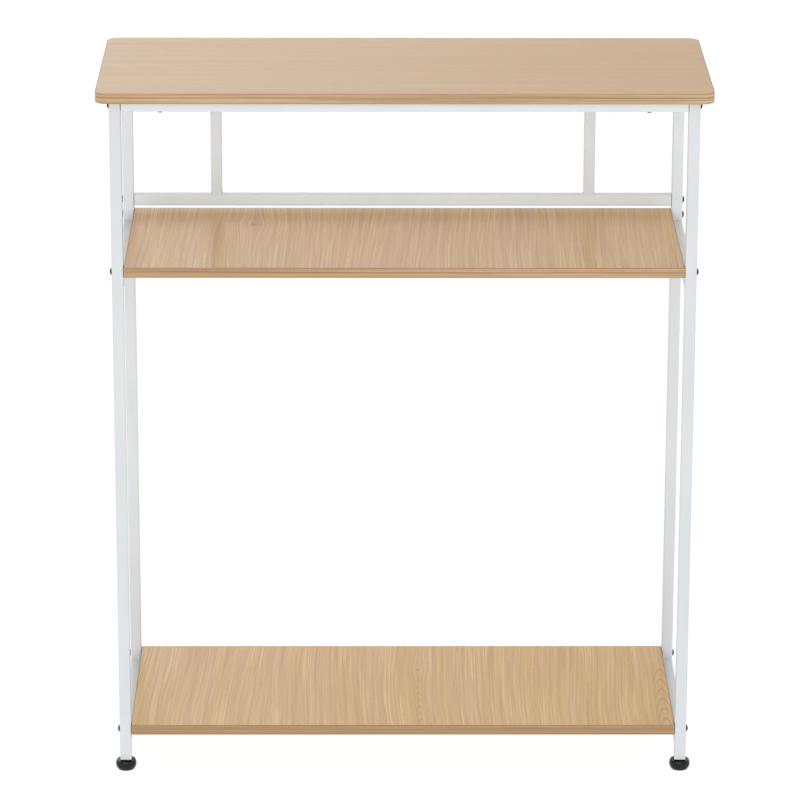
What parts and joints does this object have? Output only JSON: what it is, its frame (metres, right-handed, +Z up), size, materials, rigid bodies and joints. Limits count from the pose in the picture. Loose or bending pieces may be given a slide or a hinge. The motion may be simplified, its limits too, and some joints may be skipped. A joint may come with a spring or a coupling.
{
  "type": "computer desk with keyboard shelf",
  "caption": "Tall narrow computer desk: white square-tube frame, oak-effect top board, fixed keyboard shelf below it, bottom shelf and screw-in levelling feet.",
  "frame": {"origin": "on the floor under the middle of the object's bounding box, all four feet screwed right in", "axes": "+X to the user's right when facing the desk from the front, +Y towards the back, +Z up"},
  "size_m": [1, 0.408, 1.182],
  "materials": {
    "white_powder_coat": "satin white powder coat on steel tube",
    "oak_laminate_top": "matt light oak-effect laminate, grain along the width",
    "oak_laminate_shelf": "matt light oak-effect laminate, grain front to back",
    "oak_edge_band": "matt oak-effect edge band, grain along the edge",
    "dark_steel_fasteners": "black oxide steel",
    "zinc_plated_steel": "bright zinc plate",
    "black_plastic": "glossy black moulded plastic"
  },
  "bodies": {
    "frame": {"leg_front_left": "white_powder_coat", "leg_front_right": "white_powder_coat", "leg_rear_left": "white_powder_coat", "leg_rear_right": "white_powder_coat", "side_rail_top_left": "white_powder_coat", "side_rail_top_right": "white_powder_coat", "side_rail_middle_left": "white_powder_coat", "side_rail_middle_right": "white_powder_coat", "side_rail_bottom_left": "white_powder_coat", "side_rail_bottom_right": "white_powder_coat", "front_rail": "white_powder_coat", "rear_rail": "white_powder_coat", "crossbar": "white_powder_coat", "back_post_left": "white_powder_coat", "back_post_right": "white_powder_coat", "top_board": "oak_laminate_top", "keyboard_shelf": "oak_laminate_shelf", "bottom_shelf": "oak_laminate_shelf", "top_board_edge_band": "oak_edge_band", "keyboard_shelf_edge_band": "oak_edge_band", "bottom_shelf_edge_band": "oak_edge_band", "insert_keyboard_shelf_front_left": "zinc_plated_steel", "insert_keyboard_shelf_front_right": "zinc_plated_steel", "insert_keyboard_shelf_rear_left": "zinc_plated_steel", "insert_keyboard_shelf_rear_right": "zinc_plated_steel", "insert_bottom_shelf_front_left": "zinc_plated_steel", "insert_bottom_shelf_front_right": "zinc_plated_steel", "insert_bottom_shelf_rear_left": "zinc_plated_steel", "insert_bottom_shelf_rear_right": "zinc_plated_steel", "bolt_rail_front_left": "dark_steel_fasteners", "bolt_rail_front_right": "dark_steel_fasteners", "bolt_rail_rear_left": "dark_steel_fasteners", "bolt_rail_rear_right": "dark_steel_fasteners", "bolt_keyboard_shelf_front_left": "dark_steel_fasteners", "bolt_keyboard_shelf_front_right": "dark_steel_fasteners", "bolt_keyboard_shelf_rear_left": "dark_steel_fasteners", "bolt_keyboard_shelf_rear_right": "dark_steel_fasteners", "bolt_bottom_shelf_front_left": "dark_steel_fasteners", "bolt_bottom_shelf_front_right": "dark_steel_fasteners", "bolt_bottom_shelf_rear_left": "dark_steel_fasteners", "bolt_bottom_shelf_rear_right": "dark_steel_fasteners", "bolt_crossbar_rear_left": "dark_steel_fasteners", "bolt_crossbar_rear_right": "dark_steel_fasteners", "top_screw_front_left": "dark_steel_fasteners", "top_screw_front_right": "dark_steel_fasteners", "top_screw_rear_left": "dark_steel_fasteners", "top_screw_rear_right": "dark_steel_fasteners", "leg_plug_front_left": "black_plastic", "leg_plug_front_right": "black_plastic", "leg_plug_rear_left": "black_plastic", "leg_plug_rear_right": "black_plastic"},
    "foot_screw_front_left": {"foot_stem_front_left": "zinc_plated_steel"},
    "foot_front_left": {"foot_pad_front_left": "black_plastic"},
    "foot_screw_front_right": {"foot_stem_front_right": "zinc_plated_steel"},
    "foot_front_right": {"foot_pad_front_right": "black_plastic"},
    "foot_screw_rear_left": {"foot_stem_rear_left": "zinc_plated_steel"},
    "foot_rear_left": {"foot_pad_rear_left": "black_plastic"},
    "foot_screw_rear_right": {"foot_stem_rear_right": "zinc_plated_steel"},
    "foot_rear_right": {"foot_pad_rear_right": "black_plastic"}
  },
  "joints": [
    {"name": "foot_travel_front_left", "type": "slide", "parent": "frame", "child": "foot_screw_front_left", "axis": [0, 0, -1], "range_m": [0, 0.01]},
    {"name": "foot_turn_front_left", "type": "hinge", "parent": "foot_screw_front_left", "child": "foot_front_left", "pos_m": [-0.469, -0.1705, 0], "axis": [0, 0, -1], "range_deg": [0, 2880]},
    {"name": "foot_travel_front_right", "type": "slide", "parent": "frame", "child": "foot_screw_front_right", "axis": [0, 0, -1], "range_m": [0, 0.01]},
    {"name": "foot_turn_front_right", "type": "hinge", "parent": "foot_screw_front_right", "child": "foot_front_right", "pos_m": [0.469, -0.1705, 0], "axis": [0, 0, -1], "range_deg": [0, 2880]},
    {"name": "foot_travel_rear_left", "type": "slide", "parent": "frame", "child": "foot_screw_rear_left", "axis": [0, 0, -1], "range_m": [0, 0.01]},
    {"name": "foot_turn_rear_left", "type": "hinge", "parent": "foot_screw_rear_left", "child": "foot_rear_left", "pos_m": [-0.469, 0.1865, 0], "axis": [0, 0, -1], "range_deg": [0, 2880]},
    {"name": "foot_travel_rear_right", "type": "slide", "parent": "frame", "child": "foot_screw_rear_right", "axis": [0, 0, -1], "range_m": [0, 0.01]},
    {"name": "foot_turn_rear_right", "type": "hinge", "parent": "foot_screw_rear_right", "child": "foot_rear_right", "pos_m": [0.469, 0.1865, 0], "axis": [0, 0, -1], "range_deg": [0, 2880]}
  ],
  "couplings": [
    {"joint": "foot_turn_front_left", "follows": "foot_travel_front_left", "rad_per_m": 5026.5},
    {"joint": "foot_turn_front_right", "follows": "foot_travel_front_right", "rad_per_m": 5026.5},
    {"joint": "foot_turn_rear_left", "follows": "foot_travel_rear_left", "rad_per_m": 5026.5},
    {"joint": "foot_turn_rear_right", "follows": "foot_travel_rear_right", "rad_per_m": 5026.5}
  ]
}
